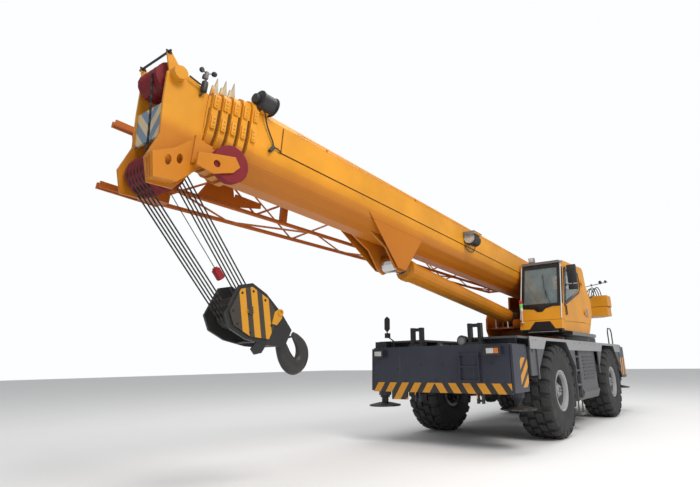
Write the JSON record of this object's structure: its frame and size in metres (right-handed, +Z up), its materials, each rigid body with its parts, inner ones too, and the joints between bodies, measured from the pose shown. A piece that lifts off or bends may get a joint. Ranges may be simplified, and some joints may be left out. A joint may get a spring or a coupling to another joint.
{
  "type": "rough terrain crane",
  "caption": "Rough terrain mobile crane on big lugged tyres, with side cab, telescopic boom, stowed lattice jib, outriggers and hook block.",
  "frame": {"origin": "on the ground, below the middle of the whole crane's footprint with the boom at rest", "axes": "+X forward along the boom, +Y to the operator's cab, +Z up"},
  "size_m": [15.792, 3.46, 4.9858],
  "materials": {
    "crane_yellow": "gloss paint",
    "jib_orange": "gloss paint",
    "slate_grey": "satin paint",
    "mid_grey": "satin paint",
    "dark_grey": "dull paint",
    "block_black": "painted",
    "sheave_maroon": "painted",
    "rim_silver": "silver paint",
    "tyre_rubber": "moulded rubber",
    "cylinder_rod": "polished",
    "cab_glass": "tinted",
    "seat_fabric": "woven",
    "console_plastic": "grained",
    "rope_steel": "greased wire"
  },
  "bodies": {
    "carrier": {"chassis_frame": "slate_grey", "outrigger_box_front": "slate_grey", "outrigger_box_rear": "slate_grey", "axle_front": "dark_grey", "axle_rear": "dark_grey", "deck_left": "mid_grey", "deck_right": "mid_grey", "tank_left": "mid_grey", "tank_right": "mid_grey", "engine_hood": "mid_grey", "engine_block": "dark_grey", "slewing_ring_gear": "dark_grey"},
    "knuckle_body_front_left": {"knuckle_front_left": "dark_grey"},
    "wheel_front_left": {"rim_front_left": "rim_silver", "tyre_front_left": "tyre_rubber"},
    "knuckle_body_front_right": {"knuckle_front_right": "dark_grey"},
    "wheel_front_right": {"rim_front_right": "rim_silver", "tyre_front_right": "tyre_rubber"},
    "beam_front_left": {"outrigger_beam_front_left": "slate_grey"},
    "jack_front_left": {"outrigger_jack_front_left": "dark_grey"},
    "beam_front_right": {"outrigger_beam_front_right": "slate_grey"},
    "jack_front_right": {"outrigger_jack_front_right": "dark_grey"},
    "knuckle_body_rear_left": {"knuckle_rear_left": "dark_grey"},
    "wheel_rear_left": {"rim_rear_left": "rim_silver", "tyre_rear_left": "tyre_rubber"},
    "knuckle_body_rear_right": {"knuckle_rear_right": "dark_grey"},
    "wheel_rear_right": {"rim_rear_right": "rim_silver", "tyre_rear_right": "tyre_rubber"},
    "beam_rear_left": {"outrigger_beam_rear_left": "slate_grey"},
    "jack_rear_left": {"outrigger_jack_rear_left": "dark_grey"},
    "beam_rear_right": {"outrigger_beam_rear_right": "slate_grey"},
    "jack_rear_right": {"outrigger_jack_rear_right": "dark_grey"},
    "upper": {"turntable": "crane_yellow", "counterweight": "crane_yellow", "winch_main": "dark_grey", "winch_auxiliary": "dark_grey", "cab_shell": "crane_yellow", "windscreen": "cab_glass", "cab_right_glass": "cab_glass", "operator_seat": "seat_fabric", "control_console": "console_plastic", "cab_platform": "mid_grey"},
    "door": {"cab_door": "crane_yellow", "cab_door_glass": "cab_glass"},
    "boom": {"boom_base": "crane_yellow", "lattice_jib": "jib_orange"},
    "section_2": {"boom_section_2": "crane_yellow"},
    "section_3": {"boom_section_3": "crane_yellow"},
    "section_4": {"boom_section_4": "crane_yellow"},
    "section_5": {"boom_section_5": "crane_yellow", "head_sheaves_upper": "sheave_maroon", "guide_sheave": "sheave_maroon"},
    "hook_tackle": {"head_sheaves_lower": "sheave_maroon", "hoist_rope": "rope_steel", "block_sheaves": "block_black"},
    "block_body": {"hook_block": "block_black"},
    "hook_body": {"hook": "block_black"},
    "lift_barrel": {"lift_cylinder_barrel": "crane_yellow"},
    "lift_rod": {"lift_cylinder_rod": "cylinder_rod"}
  },
  "joints": [
    {"name": "steer_front_left", "type": "hinge", "parent": "carrier", "child": "knuckle_body_front_left", "pos_m": [-0.694, 0.84, 0.935], "axis": [0, 0, 1], "range_deg": [-21, 21]},
    {"name": "wheel_spin_front_left", "type": "hinge", "parent": "knuckle_body_front_left", "child": "wheel_front_left", "pos_m": [-0.694, 1.31, 0.935], "axis": [0, 1, 0], "continuous": true},
    {"name": "steer_front_right", "type": "hinge", "parent": "carrier", "child": "knuckle_body_front_right", "pos_m": [-0.694, -0.84, 0.935], "axis": [0, 0, 1], "range_deg": [-21, 21]},
    {"name": "wheel_spin_front_right", "type": "hinge", "parent": "knuckle_body_front_right", "child": "wheel_front_right", "pos_m": [-0.694, -1.31, 0.935], "axis": [0, 1, 0], "continuous": true},
    {"name": "outrigger_front_left", "type": "slide", "parent": "carrier", "child": "beam_front_left", "axis": [0, 1, 0], "range_m": [0, 2.05]},
    {"name": "jack_down_front_left", "type": "slide", "parent": "beam_front_left", "child": "jack_front_left", "axis": [0, 0, -1], "range_m": [0, 0.75]},
    {"name": "outrigger_front_right", "type": "slide", "parent": "carrier", "child": "beam_front_right", "axis": [0, -1, 0], "range_m": [0, 2.05]},
    {"name": "jack_down_front_right", "type": "slide", "parent": "beam_front_right", "child": "jack_front_right", "axis": [0, 0, -1], "range_m": [0, 0.75]},
    {"name": "steer_rear_left", "type": "hinge", "parent": "carrier", "child": "knuckle_body_rear_left", "pos_m": [-5.394, 0.84, 0.935], "axis": [0, 0, 1], "range_deg": [-21, 21]},
    {"name": "wheel_spin_rear_left", "type": "hinge", "parent": "knuckle_body_rear_left", "child": "wheel_rear_left", "pos_m": [-5.394, 1.31, 0.935], "axis": [0, 1, 0], "continuous": true},
    {"name": "steer_rear_right", "type": "hinge", "parent": "carrier", "child": "knuckle_body_rear_right", "pos_m": [-5.394, -0.84, 0.935], "axis": [0, 0, 1], "range_deg": [-21, 21]},
    {"name": "wheel_spin_rear_right", "type": "hinge", "parent": "knuckle_body_rear_right", "child": "wheel_rear_right", "pos_m": [-5.394, -1.31, 0.935], "axis": [0, 1, 0], "continuous": true},
    {"name": "outrigger_rear_left", "type": "slide", "parent": "carrier", "child": "beam_rear_left", "axis": [0, 1, 0], "range_m": [0, 2.05]},
    {"name": "jack_down_rear_left", "type": "slide", "parent": "beam_rear_left", "child": "jack_rear_left", "axis": [0, 0, -1], "range_m": [0, 0.75]},
    {"name": "outrigger_rear_right", "type": "slide", "parent": "carrier", "child": "beam_rear_right", "axis": [0, -1, 0], "range_m": [0, 2.05]},
    {"name": "jack_down_rear_right", "type": "slide", "parent": "beam_rear_right", "child": "jack_rear_right", "axis": [0, 0, -1], "range_m": [0, 0.75]},
    {"name": "slew", "type": "hinge", "parent": "carrier", "child": "upper", "pos_m": [-3.444, 0, 2.05], "axis": [0, 0, 1], "continuous": true},
    {"name": "cab_door_hinge", "type": "hinge", "parent": "upper", "child": "door", "pos_m": [-3.649, 1.59, 3.1], "axis": [0, 0, 1], "range_deg": [0, 85]},
    {"name": "luff", "type": "hinge", "parent": "upper", "child": "boom", "pos_m": [-5.194, 0, 3.4], "axis": [0, -1, 0], "range_deg": [-3, 75]},
    {"name": "extend_2", "type": "slide", "parent": "boom", "child": "section_2", "axis": [0.9985, 0, 0.0555], "range_m": [0, 8.55]},
    {"name": "extend_3", "type": "slide", "parent": "section_2", "child": "section_3", "axis": [0.9985, 0, 0.0555], "range_m": [0, 8.55]},
    {"name": "extend_4", "type": "slide", "parent": "section_3", "child": "section_4", "axis": [0.9985, 0, 0.0555], "range_m": [0, 8.55]},
    {"name": "extend_5", "type": "slide", "parent": "section_4", "child": "section_5", "axis": [0.9985, 0, 0.0555], "range_m": [0, 8.55]},
    {"name": "hook_swing", "type": "hinge", "parent": "section_5", "child": "hook_tackle", "pos_m": [7.60459, 0, 3.60081], "axis": [0, -1, 0], "range_deg": [-34.2, 1.5]},
    {"name": "block_swing", "type": "hinge", "parent": "hook_tackle", "child": "block_body", "pos_m": [6.35808, 0, 2.16687], "axis": [0, -1, 0], "range_deg": [-0.98, 23.35]},
    {"name": "hook_swivel", "type": "hinge", "parent": "block_body", "child": "hook_body", "pos_m": [5.7904, 0, 1.89366], "axis": [-0.9011, 0, -0.4337], "continuous": true},
    {"name": "lift_cylinder_tilt", "type": "hinge", "parent": "upper", "child": "lift_barrel", "pos_m": [-2.394, 0, 2.62], "axis": [0, -1, 0], "range_deg": [-3.52, 86.74]},
    {"name": "lift_rod_slide", "type": "slide", "parent": "lift_barrel", "child": "lift_rod", "axis": [0.9931, 0, 0.1175], "range_m": [-0.1316, 3.2432]}
  ],
  "couplings": [
    {"joint": "steer_front_right", "follows": "steer_front_left", "ratio": 1},
    {"joint": "steer_rear_right", "follows": "steer_rear_left", "ratio": 1},
    {"joint": "extend_3", "follows": "extend_2", "ratio": 1},
    {"joint": "extend_4", "follows": "extend_2", "ratio": 1},
    {"joint": "extend_5", "follows": "extend_2", "ratio": 1},
    {"joint": "hook_swing", "follows": "luff", "ratio": -0.4533},
    {"joint": "block_swing", "follows": "luff", "ratio": 0.3107},
    {"joint": "lift_cylinder_tilt", "follows": "luff", "ratio": 1.1559},
    {"joint": "lift_rod_slide", "follows": "luff", "m_per_rad": 2.4761}
  ]
}
